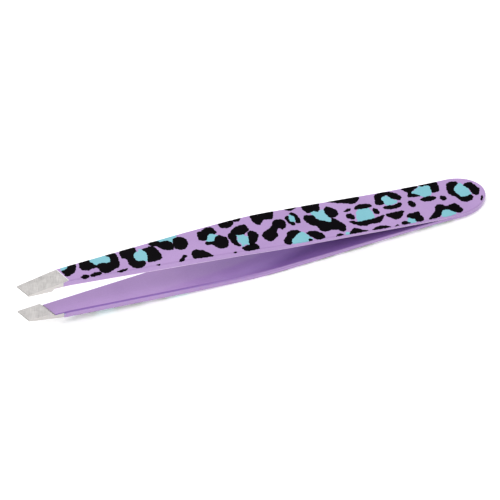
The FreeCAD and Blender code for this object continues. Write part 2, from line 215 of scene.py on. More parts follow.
# %% [markdown]
# ## Where the grinder stopped
# The tips are ground on a slant, so every boundary there is measured back from the leading
# edge, square to it. The outer face is ground to a thin edge, the inner pad is cleaned a
# shorter way back, and the narrow sides are bare from a square step. The enamel skin ends
# on these three limits. The height of the leading edge follows from the hinge: it is the
# height that the closing turn takes down to the plane between the blades.

# %% Tip limits of the enamel
SLANT = math.radians(22.9)
GRIND_LENGTH = 7.65
INNER_END = 4.95
SIDE_END = 86.6
EDGE_THICKNESS = 0.35
CLOSED_CLEARANCE = 0.02
HINGE = 27.0
CLOSING = math.radians(2.63)
hinge_steel = TAIL_STEEL + THICKENING * (HINGE - THINNING[0])
hinge_height = (HINGE - WELD_END) * REAR_SLOPE + hinge_steel / 2
edge_height = (hinge_height - (hinge_height - CLOSED_CLEARANCE) / math.cos(CLOSING)
               + (BLADE_LENGTH - HINGE) * math.tan(CLOSING))
grind_back = float(outer_height(BLADE_LENGTH - GRIND_LENGTH / math.cos(SLANT)))
edge_top = edge_height + EDGE_THICKNESS
grind_slope = (grind_back - edge_top) / GRIND_LENGTH


def behind_edge(s, y):
    """Distance back from the leading edge, square to it."""
    return (BLADE_LENGTH - s) * math.cos(SLANT) + (y - TIP_FAR) * math.sin(SLANT)


print("leading edge height %.3f, grind slope %.3f" % (edge_height, grind_slope))

# %% [markdown]
# ## The enamel skin
# Each blade's enamel is one continuous skin, so it is lofted in rings from the tail to the
# tip. A ring is a rounded rectangle: a column of points across the outer face, round the
# near edge, down the side, across the inner face and back up the far side. At the tail the
# rings close on a point. At the tip each column ends where its own limit is, which gives the
# stepped edge of the real coating. An inner wall follows the steel, so the skin is a true
# thin shell with a rim. The rim shows the pale base coat that slanted grinding lays bare,
# and its pale colour is also a painted highlight along the grind line.

# %% Columns of a ring: (kind, side, share of the way or degrees round the corner)
CORNER = [0, 12, 25, 37, 44.6, 45.4, 53, 65, 78, 90]
ACROSS = [0.0, 0.012, 0.04] + [k / 16 for k in range(1, 16)] + [0.96, 0.988, 1.0]
columns = [("outer", 0, f) for f in ACROSS]
columns += [("outer_round", -1, a) for a in CORNER[1:]]
columns += [("side", -1, k / 4) for k in (1, 2, 3)]
columns += [("inner_round", -1, a) for a in reversed(CORNER)]
columns += [("inner", 0, 1 - f) for f in ACROSS[1:-1]]
columns += [("inner_round", 1, a) for a in CORNER]
columns += [("side", 1, k / 4) for k in (3, 2, 1)]
columns += [("outer_round", 1, a) for a in reversed(CORNER[1:])]
print(len(columns), "columns in a ring")

# %% Where a column's points lie
SEAM_CLOSED = 6.0
SEAM_OPENING = 3.5
SEAM_ROUND = 0.03
STEEL_SEAM = 0.004
LIMIT_SEARCH = (70.0, 97.0)
HALVINGS = 40


def rounding(s, skin):
    """Radius of the inner long edges; the enamel fills the seam near the tail."""
    open_seam = np.clip((s - SEAM_CLOSED) / SEAM_OPENING, 0, 1)
    full = STEEL_ROUND + skin
    return SEAM_ROUND + (full - SEAM_ROUND) * open_seam ** 2 * (3 - 2 * open_seam)


def plan_point(s, side, skin, cap_turn):
    """A point of the outline from above and its outward direction."""
    if cap_turn is None:
        y = side * (half_width(s, side) + skin)
        return np.array([-s, y]), np.array([0.0, side])
    long_axis = CAP_LENGTH + skin
    short_axis = TAIL_HALF + skin
    point = np.array([-CAP_LENGTH + long_axis * math.cos(cap_turn),
                      side * short_axis * math.sin(cap_turn)])
    out = np.array([math.cos(cap_turn) / long_axis, side * math.sin(cap_turn) / short_axis])
    return point, out / np.linalg.norm(out)


def skin_point(column, s, skin, cap_turn=None):
    """Place of one column of the ring that stands at distance s from the tail."""
    kind, side, share = column
    top_round = STEEL_ROUND + skin
    if kind in ("outer", "inner"):
        inset = top_round if kind == "outer" else float(rounding(s, skin))
        far, far_out = plan_point(s, 1, skin, cap_turn)
        near, near_out = plan_point(s, -1, skin, cap_turn)
        xy = (far - far_out * inset) * (1 - share) + (near - near_out * inset) * share
        low_round = inset
        lift = 0.0
    else:
        point, out = plan_point(s, side, skin, cap_turn)
        low_round = float(rounding(s, skin))
        if kind == "side":
            xy = point
        else:
            r = top_round if kind == "outer_round" else low_round
            angle = math.radians(share)
            xy = point - out * r * (1 - math.sin(angle))
            lift = r * (1 - math.cos(angle))
    here = max(-xy[0], 0.0)
    top = float(outer_height(here)) + skin
    bottom = max(float(inner_height(here)) - skin, 0.0 if skin > 0 else STEEL_SEAM)
    if kind == "outer":
        z = top
    elif kind == "inner":
        z = bottom
    elif kind == "outer_round":
        z = top - lift
    elif kind == "inner_round":
        z = bottom + lift
    else:
        z = (top - top_round) * (1 - share) + (bottom + low_round) * share
    return np.array([xy[0], xy[1], z])


def skin_end(column, skin):
    """How far from the tail a column of the skin reaches."""
    kind, side, share = column
    beside = kind == "side" or (kind.endswith("_round") and share > 45)
    low, high = LIMIT_SEARCH
    for _ in range(HALVINGS):
        s = (low + high) / 2
        x, y, z = skin_point(column, s, skin)
        if kind.startswith("inner") and not beside:
            cut = behind_edge(s, y) < INNER_END
        else:
            cut = z > edge_top + grind_slope * behind_edge(s, y)
        low, high = (low, s) if cut else (s, high)
    return min(low, SIDE_END) if beside else low


# %% Rings of the skin
TAIL_TURNS = 26
CAP_RINGS = [math.pi / 2 * (k / TAIL_TURNS) ** 1.5 for k in range(TAIL_TURNS)]
STRAIGHT_RINGS = list(np.arange(CAP_LENGTH, 80.01, 0.7))
TIP_RINGS = 16
STEEL_WALL = -0.002


def wall(skin):
    """All rings of one wall, tail first, as an array (ring, column, xyz)."""
    rings = [[skin_point(c, 0.0, skin, turn) for c in columns] for turn in CAP_RINGS]
    rings += [[skin_point(c, s, skin) for c in columns] for s in STRAIGHT_RINGS]
    last = STRAIGHT_RINGS[-1]
    ends = [skin_end(c, skin) for c in columns]
    for k in range(1, TIP_RINGS + 1):
        rings.append([skin_point(c, last + (end - last) * k / TIP_RINGS, skin)
                      for c, end in zip(columns, ends)])
    return np.array(rings)


outside = wall(COAT)
inside = wall(STEEL_WALL)
print("rings per wall:", len(outside))

# %% [markdown]
# ## Painted highlight and painted shade on the enamel
# Each point of the skin gets a mark that paints light and shade into the enamel colour:
# above zero along the upper blade's inner long edges, which look paler, a painted highlight
# of the bright table; below zero along the lower blade's inner long edges and in the gap
# towards the heel, which look deeper, painted shade.
# The marks belong to the mesh.

# %% Marks of painted highlight and painted shade
PAINTED_LIGHT_MARK = "painted_light"
# The amounts below paint a highlight on the upper blade's inner edges and shade on the lower blade's
# inner edges and in the gap towards the heel.
HEEL_SHADE_START = 64.0
HEEL_SHADE_REACH = 22.0
MARKED_TURN = (10, 85)
EDGE_HIGHLIGHT = 0.8
EDGE_SHADE = -0.75
GAP_SHADE = -0.6


def painted_light_marks(rings, lower):
    """Above 0 a painted highlight on an edge, below 0 painted shade on edges and in the gap."""
    from_tail = -rings[:, :, 0]
    marks = np.zeros(from_tail.shape, np.float32)
    heel_shade = np.clip((HEEL_SHADE_START - from_tail) / HEEL_SHADE_REACH, 0.0, 1.0)
    for c, (kind, _, share) in enumerate(columns):
        if kind == "inner_round" and MARKED_TURN[0] < share < MARKED_TURN[1]:
            marks[:, c] = EDGE_SHADE * (1 - heel_shade[:, c]) if lower else EDGE_HIGHLIGHT
        elif kind.startswith("inner"):
            marks[:, c] = GAP_SHADE * heel_shade[:, c]
    return marks.ravel()


print("marks run from", painted_light_marks(outside, True).min(), "to", painted_light_marks(outside, False).max())

# %% [markdown]
# ## From rings to a closed mesh
# Neighbouring rings are joined by four-sided faces. The outer wall runs to the tip, the rim
# steps down to the steel, and the inner wall runs back to the tail. Points that meet at the
# tail are merged, and a check counts the edges that are not shared by exactly two faces.


# %% Loft helper
def lofted(name, rings, materials, rim_ring, mirror):
    """A closed mesh through the rings; faces of the rim ring take the second material."""
    count, around, _ = rings.shape
    vertices = rings.reshape(-1, 3) * MM
    if mirror:
        vertices = vertices * np.array([1, 1, -1])
    faces = []
    for k in range(count - 1):
        for c in range(around):
            n = (c + 1) % around
            faces.append((k * around + c, k * around + n,
                          (k + 1) * around + n, (k + 1) * around + c))
    mesh = bpy.data.meshes.new(name)
    mesh.from_pydata([tuple(v) for v in vertices], [], faces)
    for material in materials:
        mesh.materials.append(material)
    on_rim = [k == rim_ring and columns[c][0].startswith("outer")
              for k in range(count - 1) for c in range(around)]
    mesh.polygons.foreach_set("material_index", np.array(on_rim, np.int32))
    # This mark carries the painted highlight and painted shade of the enamel.
    mark = mesh.attributes.new(PAINTED_LIGHT_MARK, "FLOAT", "POINT")
    mark.data.foreach_set("value", painted_light_marks(rings, mirror))
    shell = bmesh.new()
    shell.from_mesh(mesh)
    bmesh.ops.remove_doubles(shell, verts=shell.verts, dist=1e-7)
    bmesh.ops.dissolve_degenerate(shell, edges=shell.edges, dist=1e-8)
    bmesh.ops.recalc_face_normals(shell, faces=shell.faces)
    open_edges = sum(1 for e in shell.edges if len(e.link_faces) != 2)
    shell.to_mesh(mesh)
    shell.free()
    mesh.polygons.foreach_set("use_smooth", [True] * len(mesh.polygons))
    mesh.set_sharp_from_angle(angle=math.radians(40))
    piece = bpy.data.objects.new(name, mesh)
    scene.collection.objects.link(piece)
    print("%s: %d faces, %d edges not shared by two faces"
          % (name, len(mesh.polygons), open_edges))
    return piece


# %% [markdown]
# ## Shared surface effects
# Enamel, ink and steel all show fine irregularity, so each effect is a node group with named
# inputs, built once. The first gives the faint orange-peel of a baked coating and a slight
# unevenness of tone. The second gives the fine scratches of grinding, with weaker ones across.


# %% Node helpers
def group_of(name, inputs, outputs):
    """A shader node group with float or vector inputs and typed outputs."""
    tree = bpy.data.node_groups.new(name, "ShaderNodeTree")
    for label, kind, value in inputs:
        socket = tree.interface.new_socket(label, in_out="INPUT", socket_type=kind)
        if value is not None:
            socket.default_value = value
    for label, kind in outputs:
        tree.interface.new_socket(label, in_out="OUTPUT", socket_type=kind)
    return tree, tree.nodes.new("NodeGroupInput"), tree.nodes.new("NodeGroupOutput")


def noise(tree, vector, scale, detail=2.0):
    node = tree.nodes.new("ShaderNodeTexNoise")
    node.inputs["Scale"].default_value = scale
    node.inputs["Detail"].default_value = detail
    tree.links.new(vector, node.inputs["Vector"])
    return node.outputs["Fac"]


def math_node(tree, kind, first, second):
    node = tree.nodes.new("ShaderNodeMath")
    node.operation = kind
    for slot, value in enumerate((first, second)):
        if isinstance(value, (int, float)):
            node.inputs[slot].default_value = value
        else:
            tree.links.new(value, node.inputs[slot])
    return node.outputs[0]


def spread(tree, value, low, high):
    """Turns a 0..1 value into low..high."""
    node = tree.nodes.new("ShaderNodeMapRange")
    node.inputs["From Min"].default_value = 0.3
    node.inputs["From Max"].default_value = 0.7
    node.inputs["To Min"].default_value = low
    node.inputs["To Max"].default_value = high
    tree.links.new(value, node.inputs["Value"])
    return node.outputs["Result"]


# %% The baked-coating group
coating, coat_in, coat_out = group_of(
    "baked_coating",
    [("Vector", "NodeSocketVector", None), ("Peel", "NodeSocketFloat", 1.0)],
    [("Height", "NodeSocketFloat"), ("Tone", "NodeSocketFloat"),
     ("Roughness", "NodeSocketFloat")])
peel = noise(coating, coat_in.outputs["Vector"], 900.0)
broad = noise(coating, coat_in.outputs["Vector"], 120.0)
speck = noise(coating, coat_in.outputs["Vector"], 4200.0, 1.0)
both = math_node(coating, "ADD", peel, math_node(coating, "MULTIPLY", speck, 0.35))
coating.links.new(math_node(coating, "MULTIPLY", both, coat_in.outputs["Peel"]),
                  coat_out.inputs["Height"])
tone = math_node(coating, "ADD", math_node(coating, "MULTIPLY", broad, 0.6),
                 math_node(coating, "MULTIPLY", speck, 0.4))
coating.links.new(spread(coating, tone, 0.0, 1.0), coat_out.inputs["Tone"])
coating.links.new(spread(coating, broad, 0.30, 0.40), coat_out.inputs["Roughness"])

# %% The ground-steel group
ground, ground_in, ground_out = group_of(
    "ground_lines",
    [("Vector", "NodeSocketVector", None), ("Along", "NodeSocketFloat", 60.0),
     ("Across", "NodeSocketFloat", 7000.0), ("Turn", "NodeSocketFloat", 0.0)],
    [("Height", "NodeSocketFloat"), ("Tone", "NodeSocketFloat"),
     ("Roughness", "NodeSocketFloat")])
turned = ground.nodes.new("ShaderNodeVectorRotate")
turned.rotation_type = "Z_AXIS"
ground.links.new(ground_in.outputs["Vector"], turned.inputs["Vector"])
ground.links.new(ground_in.outputs["Turn"], turned.inputs["Angle"])
stretch = ground.nodes.new("ShaderNodeVectorMath")
stretch.operation = "MULTIPLY"
scales = ground.nodes.new("ShaderNodeCombineXYZ")
for axis, label in (("X", "Across"), ("Y", "Along"), ("Z", "Across")):
    ground.links.new(ground_in.outputs[label], scales.inputs[axis])
ground.links.new(turned.outputs["Vector"], stretch.inputs[0])
ground.links.new(scales.outputs["Vector"], stretch.inputs[1])
straight = noise(ground, stretch.outputs["Vector"], 1.0, 4.0)
crossing = ground.nodes.new("ShaderNodeVectorMath")
crossing.operation = "MULTIPLY"
crossing.inputs[1].default_value = (900.0, 5200.0, 5200.0)
ground.links.new(turned.outputs["Vector"], crossing.inputs[0])
across = noise(ground, crossing.outputs["Vector"], 1.0, 3.0)
lines = math_node(ground, "ADD", math_node(ground, "MULTIPLY", straight, 0.7),
                  math_node(ground, "MULTIPLY", across, 0.3))
cloud = noise(ground, ground_in.outputs["Vector"], 700.0)
ground.links.new(lines, ground_out.inputs["Height"])
blend_tone = math_node(ground, "ADD", math_node(ground, "MULTIPLY", lines, 0.7),
                       math_node(ground, "MULTIPLY", cloud, 0.3))
ground.links.new(spread(ground, blend_tone, 0.0, 1.0), ground_out.inputs["Tone"])
ground.links.new(spread(ground, lines, 0.42, 0.58), ground_out.inputs["Roughness"])
print("shader groups:", coating.name, ground.name)

# %% [markdown]
# ## Finishes
# Enamel is a satin lavender under a thin gloss, so the light rolls softly along the rounded
# edges. The inks lie on it and dry without that gloss. Bare steel is metallic with fine
# scratches that run with the slant of the tip, and fainter ones across them.


# %% Materials
def finish(name, group, dark, light, bump, settings, values=()):
    """A Principled material whose tone, roughness and relief come from a shared group."""
    material = bpy.data.materials.new(name)
    material.use_nodes = True
    tree = material.node_tree
    shader = tree.nodes["Principled BSDF"]
    for label, value in settings:
        shader.inputs[label].default_value = value
    place = tree.nodes.new("ShaderNodeTexCoord")
    node = tree.nodes.new("ShaderNodeGroup")
    node.node_tree = group
    tree.links.new(place.outputs["Object"], node.inputs["Vector"])
    for label, value in values:
        node.inputs[label].default_value = value
    mix = tree.nodes.new("ShaderNodeMix")
    mix.data_type = "RGBA"
    mix.inputs["A"].default_value = (*dark, 1)
    mix.inputs["B"].default_value = (*light, 1)
    tree.links.new(node.outputs["Tone"], mix.inputs["Factor"])
    tree.links.new(mix.outputs["Result"], shader.inputs["Base Color"])
    tree.links.new(node.outputs["Roughness"], shader.inputs["Roughness"])
    relief = tree.nodes.new("ShaderNodeBump")
    relief.inputs["Strength"].default_value = bump[0]
    relief.inputs["Distance"].default_value = bump[1]
    tree.links.new(node.outputs["Height"], relief.inputs["Height"])
    tree.links.new(relief.outputs["Normal"], shader.inputs["Normal"])
    return material


enamel = finish("lavender_enamel", coating, (0.335, 0.205, 0.445), (0.385, 0.242, 0.500),
                (0.12, 0.00002),
                [("Specular IOR Level", 0.2), ("Coat Weight", 1.0), ("Coat Roughness", 0.03)])


# %% Painted highlight and painted shade by the skin's marks
def add_painted_light(material, pale, dark):
    """Mixes in the pale colour where the mark is above zero and the dark one below.

    The pale colour is a painted highlight and the dark one painted shade.
    """
    tree = material.node_tree
    shader = tree.nodes["Principled BSDF"]
    body = shader.inputs["Base Color"].links[0].from_socket
    mark = tree.nodes.new("ShaderNodeAttribute")
    mark.attribute_name = PAINTED_LIGHT_MARK
    for colour, sign in ((pale, 1.0), (dark, -1.0)):
        amount = math_node(tree, "MULTIPLY", mark.outputs["Fac"], sign)
        mix = tree.nodes.new("ShaderNodeMix")
        mix.data_type = "RGBA"
        mix.inputs["B"].default_value = (*colour, 1)
        tree.links.new(amount, mix.inputs["Factor"])
        tree.links.new(body, mix.inputs["A"])
        body = mix.outputs["Result"]
    tree.links.new(body, shader.inputs["Base Color"])


# Pale is a painted highlight on the upper blade's inner edges, dark is painted shade on the lower
# blade's edges and in the gap.
add_painted_light(enamel, pale=(0.80, 0.62, 0.84), dark=(0.155, 0.06, 0.32))
print("enamel reads the attribute", PAINTED_LIGHT_MARK)

# %% Rim, inks and steel
# The rim's pale base coat also serves as a painted highlight along the grind line.
base_coat_and_highlight = finish("base_coat_and_highlight_rim", coating, (0.66, 0.64, 0.67), (0.78, 0.76, 0.79),
                   (0.1, 0.00002), [("Roughness", 0.5)])
black_ink = finish("black_ink", coating, (0.0008, 0.0004, 0.001), (0.002, 0.001, 0.0024),
                   (0.15, 0.00002), [("Specular IOR Level", 0.02)])
teal_ink = finish("teal_ink", coating, (0.165, 0.41, 0.475), (0.20, 0.46, 0.53),
                  (0.15, 0.00002), [("Specular IOR Level", 0.1)])
steel = finish("ground_steel", ground, (0.22, 0.213, 0.21), (0.48, 0.463, 0.453),
               (0.5, 0.00001), [("Metallic", 1.0)],
               [("Turn", SLANT), ("Along", 60.0), ("Across", 7000.0)])

SIDE_MIX = (-1.0, 1.1)


def paint_side_reflection(material, colour):
    """Sideways faces get a paler steel colour, a painted reflection of the bright table.

    The paler colour begins where the sideways part of a face's direction passes a half and
    is full at about two thirds.
    """
    tree = material.node_tree
    shader = tree.nodes["Principled BSDF"]
    facing = tree.nodes.new("ShaderNodeNewGeometry")
    parts = tree.nodes.new("ShaderNodeSeparateXYZ")
    tree.links.new(facing.outputs["Normal"], parts.inputs["Vector"])
    sideways = math_node(tree, "ABSOLUTE", parts.outputs["Y"], 0.0)
    mix = tree.nodes.new("ShaderNodeMix")
    mix.data_type = "RGBA"
    mix.inputs["B"].default_value = (*colour, 1)
    tree.links.new(spread(tree, sideways, *SIDE_MIX), mix.inputs["Factor"])
    tree.links.new(shader.inputs["Base Color"].links[0].from_socket, mix.inputs["A"])
    tree.links.new(mix.outputs["Result"], shader.inputs["Base Color"])


# The paler side colour is a painted reflection of the bright table.
paint_side_reflection(steel, (0.56, 0.535, 0.52))
weld_steel = finish("weld_steel", ground, (0.30, 0.29, 0.30), (0.45, 0.43, 0.42),
                    (0.4, 0.00002), [("Metallic", 1.0)],
                    [("Along", 900.0), ("Across", 900.0)])
print("materials:", [m.name for m in bpy.data.materials])

# %% Enamel skins of both blades
# Rim faces nearer the steel take the pale base coat, which also paints a highlight there.
COLOUR_SHARE = 0.25
colour_end = wall(COAT * COLOUR_SHARE)[-1:]
both_walls = np.concatenate([outside, colour_end, inside[::-1]])
rim = len(outside)
upper_coat = lofted("upper_coat", both_walls, [enamel, base_coat_and_highlight], rim, mirror=False)
lower_coat = lofted("lower_coat", both_walls, [enamel, base_coat_and_highlight], rim, mirror=True)

# %% [markdown]
# ## The leopard print
# The print is a thin ink film on the outer faces: black rosettes round teal centres. Each
# spot is drawn by a few points, as a print designer would cut a stencil, with its distance
# from the tail first and its place across the blade second, in millimetres. A closed smooth
# curve runs through the points, and spots that pass the long edges are cut off a little way
# round them, where the transfer no longer reaches.

# %% Spots of black ink
BLACK = [
    [(86.0, .9), (84.9, 1.3), (84.4, 2.1), (82.95, 2.2), (83.0, 1.2), (83.6, 0), (84.6, -.6),
     (85.6, -.85), (85.9, 0)],
    [(82.4, 1.2), (82.0, 2.2), (80.2, 2.5), (80.0, 1.6), (79.3, .6), (79.1, -.2), (80.3, -.3),
     (81.0, -.55), (82.1, -.1), (82.45, .5)],
    [(79.2, .3), (78.2, .7), (77.0, .4), (76.3, .6), (76.2, 1.7), (76.8, 2.6), (75.2, 2.8),
     (74.6, 2.0), (74.6, .5), (75.0, -1.2), (76.0, -1.7), (77.8, -2.35), (78.8, -1.8),
     (79.1, -.9)],
    [(83.1, -2.0), (82.3, -1.35), (81.4, -1.75), (81.5, -2.3), (82.2, -2.6)],
    [(81.2, -1.85), (80.2, -1.4), (79.0, -1.6), (79.0, -2.3), (80.2, -2.45), (80.9, -2.45)],
    [(76.0, -2.65), (75.1, -2.3), (73.7, -2.3), (74.2, -2.8), (75.2, -3.0)],
    [(68.2, -3.15), (67.7, -3.0), (67.4, -3.2), (67.8, -3.5)],
    [(74.0, 1.5), (73.6, 2.8), (71.0, 3.0), (70.6, 2.0), (70.7, 1.5), (71.3, 1.2), (71.6, 0),
     (71.2, -1.0), (70.3, -1.1), (69.9, -1.6), (70.3, -2.6), (71.5, -3.0), (72.6, -2.5),
     (73.2, -1.2), (73.1, 0), (73.9, .7)],
    [(69.6, 1.9), (68.5, 2.0), (67.9, 2.2), (67.0, 1.7), (66.5, .3), (66.4, -1.2),
     (66.9, -1.9), (68.6, -2.1), (69.5, -1.8), (69.3, -1.0), (69.0, .2), (69.2, 1.2)],
    [(67.9, 2.7), (67.2, 3.4), (66.0, 3.1), (65.2, 2.7), (64.2, 2.7), (63.45, 1.9),
     (63.35, 1.0), (63.6, 0), (64.4, -.05), (65.6, .5), (66.4, 1.6), (67.3, 2.0)],
    [(63.25, 1.9), (62.7, 2.8), (61.6, 2.95), (60.8, 2.4), (60.4, 1.3), (60.8, 0),
     (61.7, -.7), (62.8, -.4), (63.35, .2)],
    [(63.7, -3.4), (63.0, -2.7), (62.3, -2.1), (61.7, -2.6), (62.3, -3.1), (62.9, -3.8),
     (63.6, -3.7)],
    [(60.9, -3.2), (60.7, -2.0), (59.9, -1.4), (58.6, -1.9), (57.7, -2.7), (57.1, -3.7),
     (57.0, -4.2), (58.6, -4.1), (60.2, -3.9), (60.8, -3.6)],
    [(58.2, 1.5), (57.9, 3.0), (57.0, 3.2), (56.0, 3.8), (54.8, 3.6), (54.4, 2.7),
     (54.2, 2.0), (54.9, 1.6), (55.7, 1.9), (56.4, 1.2), (56.8, .4), (57.6, .5), (58.2, .9)],
    [(57.4, -.6), (57.2, 0), (56.4, -.1), (55.6, -.2), (55.0, .7), (54.1, 1.1), (53.4, .6),
     (52.8, -.1), (52.9, -1.4), (53.4, -2.4), (54.3, -2.7), (55.4, -2.3), (56.1, -1.1),
     (56.9, -1.0)],
    [(53.2, 3.3), (53.1, 4.1), (50.5, 4.4), (50.3, 3.5), (51.0, 2.7), (52.0, 2.5),
     (52.9, 2.8)],
    [(50.15, 4.4), (48.6, 4.6), (49.0, 3.8), (50.0, 3.75)],
    [(51.6, 1.4), (50.8, 2.1), (50.0, 2.5), (48.4, 2.6), (48.1, 1.8), (48.0, .9), (48.8, .3),
     (49.4, -.1), (50.3, 0), (51.0, .1), (51.8, .4)],
    [(52.6, .3), (51.9, 1.0), (50.9, .4), (51.1, -.8), (51.2, -1.8), (50.9, -3.0),
     (51.6, -2.9), (52.3, -2.0), (52.5, -.9)],
    [(48.7, -.2), (48.1, .6), (47.1, .2), (46.7, -.9), (47.2, -2.0), (48.0, -2.9),
     (49.1, -3.5), (49.2, -2.6), (48.9, -1.4)],
    [(51.0, -3.6), (50.0, -3.2), (48.7, -3.0), (48.0, -3.15), (47.6, -4.2), (48.0, -4.75), (50.3, -4.75),
     (50.8, -4.2)],
    [(53.0, -4.5), (52.6, -4.2), (52.2, -4.4), (52.5, -4.7)],
    [(46.6, 3.2), (46.4, 4.8), (44.0, 4.9), (41.9, 4.9), (42.3, 3.2), (42.9, 2.7), (44.0, 2.9),
     (44.6, 2.6), (45.6, 1.7), (46.3, 2.3)],
    [(46.1, -1.2), (45.3, -.3), (44.3, .2), (43.4, .9), (42.9, 1.9), (42.0, 2.4), (40.6, 2.0),
     (40.5, .6), (41.1, -.3), (41.7, -.6), (42.2, -.1), (42.9, -.8), (43.0, -1.9),
     (43.8, -2.7), (44.8, -3.3), (45.8, -2.6)],
    [(39.4, 4.8), (36.9, 4.9), (37.8, 4.3), (38.6, 4.1)],
    [(40.2, 2.2), (39.8, 2.9), (39.2, 2.75), (39.5, 2.0), (39.3, 1.2), (38.8, .9), (38.7, .2),
     (39.3, 0), (39.9, .8)],
    [(39.05, 3.2), (38.6, 3.65), (37.8, 3.2), (37.5, 2.3), (37.4, 1.0), (37.7, .4),
     (38.5, .5), (38.4, 1.3), (38.3, 2.2), (38.6, 2.8)],
    [(42.6, -4.3), (42.3, -3.4), (41.6, -2.6), (41.0, -1.6), (39.9, -1.2), (38.9, -1.5),
     (38.4, -2.1), (39.2, -2.5), (40.0, -3.1), (40.9, -4.0), (41.2, -4.9), (42.0, -5.0)],
    [(37.5, -2.6), (36.3, -2.3), (35.0, -2.9), (34.3, -4.0), (34.6, -4.9), (36.0, -5.0),
     (36.6, -4.3), (37.3, -3.4)],
    [(37.8, -4.5), (37.5, -4.3), (37.0, -4.6), (36.9, -5.0), (37.7, -5.0)],
    [(35.9, 3.6), (35.8, 4.9), (32.6, 5.0), (32.7, 3.4), (33.2, 2.6), (34.2, 2.9),
     (35.2, 2.6)],
    [(36.7, .9), (36.4, 2.1), (35.4, 2.1), (34.5, 1.7), (34.2, .7), (33.5, .1), (32.6, -.4),
     (31.8, -.8), (31.4, .2), (30.8, 0), (30.0, -1.2), (29.4, -2.4), (29.7, -3.6),
     (30.4, -4.0), (31.3, -3.3), (32.4, -3.0), (33.5, -3.2), (34.6, -2.7), (34.9, -1.4),
     (36.0, -.6)],
    [(32.1, 2.6), (31.3, 3.6), (30.3, 3.0), (29.6, 2.0), (29.7, 1.0), (30.4, .4), (30.9, .3),
     (31.6, .4), (32.0, 1.4)],
    [(32.2, -5.0), (31.9, -4.5), (31.2, -4.3), (30.6, -4.8), (30.7, -5.0)],
    [(29.3, -5.0), (29.0, -4.3), (27.9, -3.5), (26.8, -4.2), (25.7, -4.8), (25.8, -5.0)],
    [(30.6, 5.0), (29.0, 4.1), (27.4, 3.6), (26.0, 3.1), (24.8, 3.6), (24.6, 5.0)],
    [(28.5, 1.4), (27.6, 2.0), (26.9, 2.0), (27.0, 1.4), (27.8, 1.2)],
    [(26.2, 1.6), (25.6, 2.4), (24.6, 2.7), (22.8, 2.3), (22.6, 1.6), (23.6, 1.3),
     (25.2, 1.3)],
    [(28.4, -1.6), (27.6, -1.5), (26.6, -2.0), (25.0, -1.9), (23.4, -1.8), (21.2, -1.3),
     (21.4, -2.0), (22.6, -3.2), (24.6, -3.2), (25.6, -3.5), (27.2, -2.9)],
    [(28.3, .5), (27.4, .6), (26.9, -.1), (26.9, -1.0), (27.6, -1.1), (28.4, -.4)],
    [(22.5, 1.0), (21.8, .4), (21.7, -.6), (22.5, -.8), (22.9, .1)],
    [(24.6, -5.0), (24.2, -4.5), (23.0, -4.1), (21.6, -4.4), (21.1, -5.0)],
    [(21.7, 2.0), (21.4, 3.4), (20.9, 4.6), (19.0, 4.9), (17.4, 4.4), (16.4, 3.4),
     (16.1, 2.5), (16.6, 1.9), (17.4, 2.2), (18.4, 3.0), (18.7, 3.8), (19.6, 3.6),
     (20.1, 3.1), (19.9, 2.0), (20.2, 1.5), (21.4, 1.6)],
    [(20.6, .8), (19.4, 1.0), (18.2, .9), (17.2, 1.3), (16.6, .8), (17.4, 0), (19.0, -.2),
     (20.2, .1)],
    [(20.8, -1.3), (19.6, -1.1), (17.1, -1.1), (17.3, -1.9), (18.2, -2.9), (19.2, -3.2),
     (20.1, -2.5), (20.6, -2.0)],
    [(20.2, -4.9), (19.7, -4.6), (19.2, -4.8), (19.4, -5.0), (20.0, -5.0)],
    [(17.0, -3.2), (16.6, -2.3), (15.4, -2.2), (14.3, -2.1), (14.2, -3.2), (13.9, -4.1),
     (14.4, -4.9), (15.6, -4.8), (15.8, -4.0), (16.4, -3.6)],
    [(18.6, -4.9), (18.3, -4.0), (17.4, -4.2), (16.9, -4.8), (17.4, -5.0)],
    [(15.4, 4.7), (14.6, 3.4), (14.9, 2.3), (13.8, 2.0), (12.9, 1.9), (12.4, 2.1),
     (13.1, 2.7), (13.8, 3.1), (13.3, 3.8), (12.4, 4.3), (12.0, 4.8), (12.8, 5.1),
     (14.6, 5.1)],
    [(11.8, 5.0), (11.3, 4.4), (10.4, 4.5), (9.8, 4.1), (9.9, 3.0), (9.9, 2.3), (9.2, 2.1),
     (8.4, 2.4), (8.1, 3.4), (8.2, 5.0), (10.0, 5.1)],
    [(12.6, 1.2), (11.2, 1.5), (10.2, 1.3), (9.6, .7), (10.6, .1), (12.0, .2), (12.8, .7)],
    [(15.5, .9), (14.8, 1.2), (14.1, .4), (14.4, -.7), (15.3, -.4)],
    [(8.7, .9), (7.9, .6), (7.8, -.3), (8.5, -.6), (9.0, .1)],
    [(13.1, -4.8), (12.2, -3.8), (11.2, -2.9), (10.8, -1.8), (9.9, -1.2), (9.1, -1.6),
     (8.5, -2.1), (7.4, -1.9), (6.6, -2.0), (6.0, -3.2), (5.8, -4.2), (6.3, -4.7),
     (7.2, -4.6), (8.0, -3.8), (8.9, -3.1), (9.8, -3.3), (10.3, -4.2), (11.3, -4.8)],
    [(7.0, 1.2), (6.8, 2.8), (6.3, 3.8), (5.1, 4.0), (4.2, 3.4), (4.6, 2.8), (5.4, 2.2),
     (5.6, 1.2), (5.3, .3), (5.0, -.4), (4.2, -.8), (3.0, -.6), (2.7, -1.3), (3.2, -2.1),
     (4.6, -2.3), (5.4, -1.6), (5.9, -.4), (6.6, .3)],
    [(3.5, 2.3), (2.6, 2.8), (1.7, 2.5), (1.1, 1.2), (.8, .3), (1.4, -.9), (2.0, -1.2),
     (2.6, -.4), (2.7, .6), (3.1, 1.6)],
    [(1.7, -2.8), (1.4, -1.9), (.95, -1.5), (1.0, -2.2), (1.4, -2.9)],
]

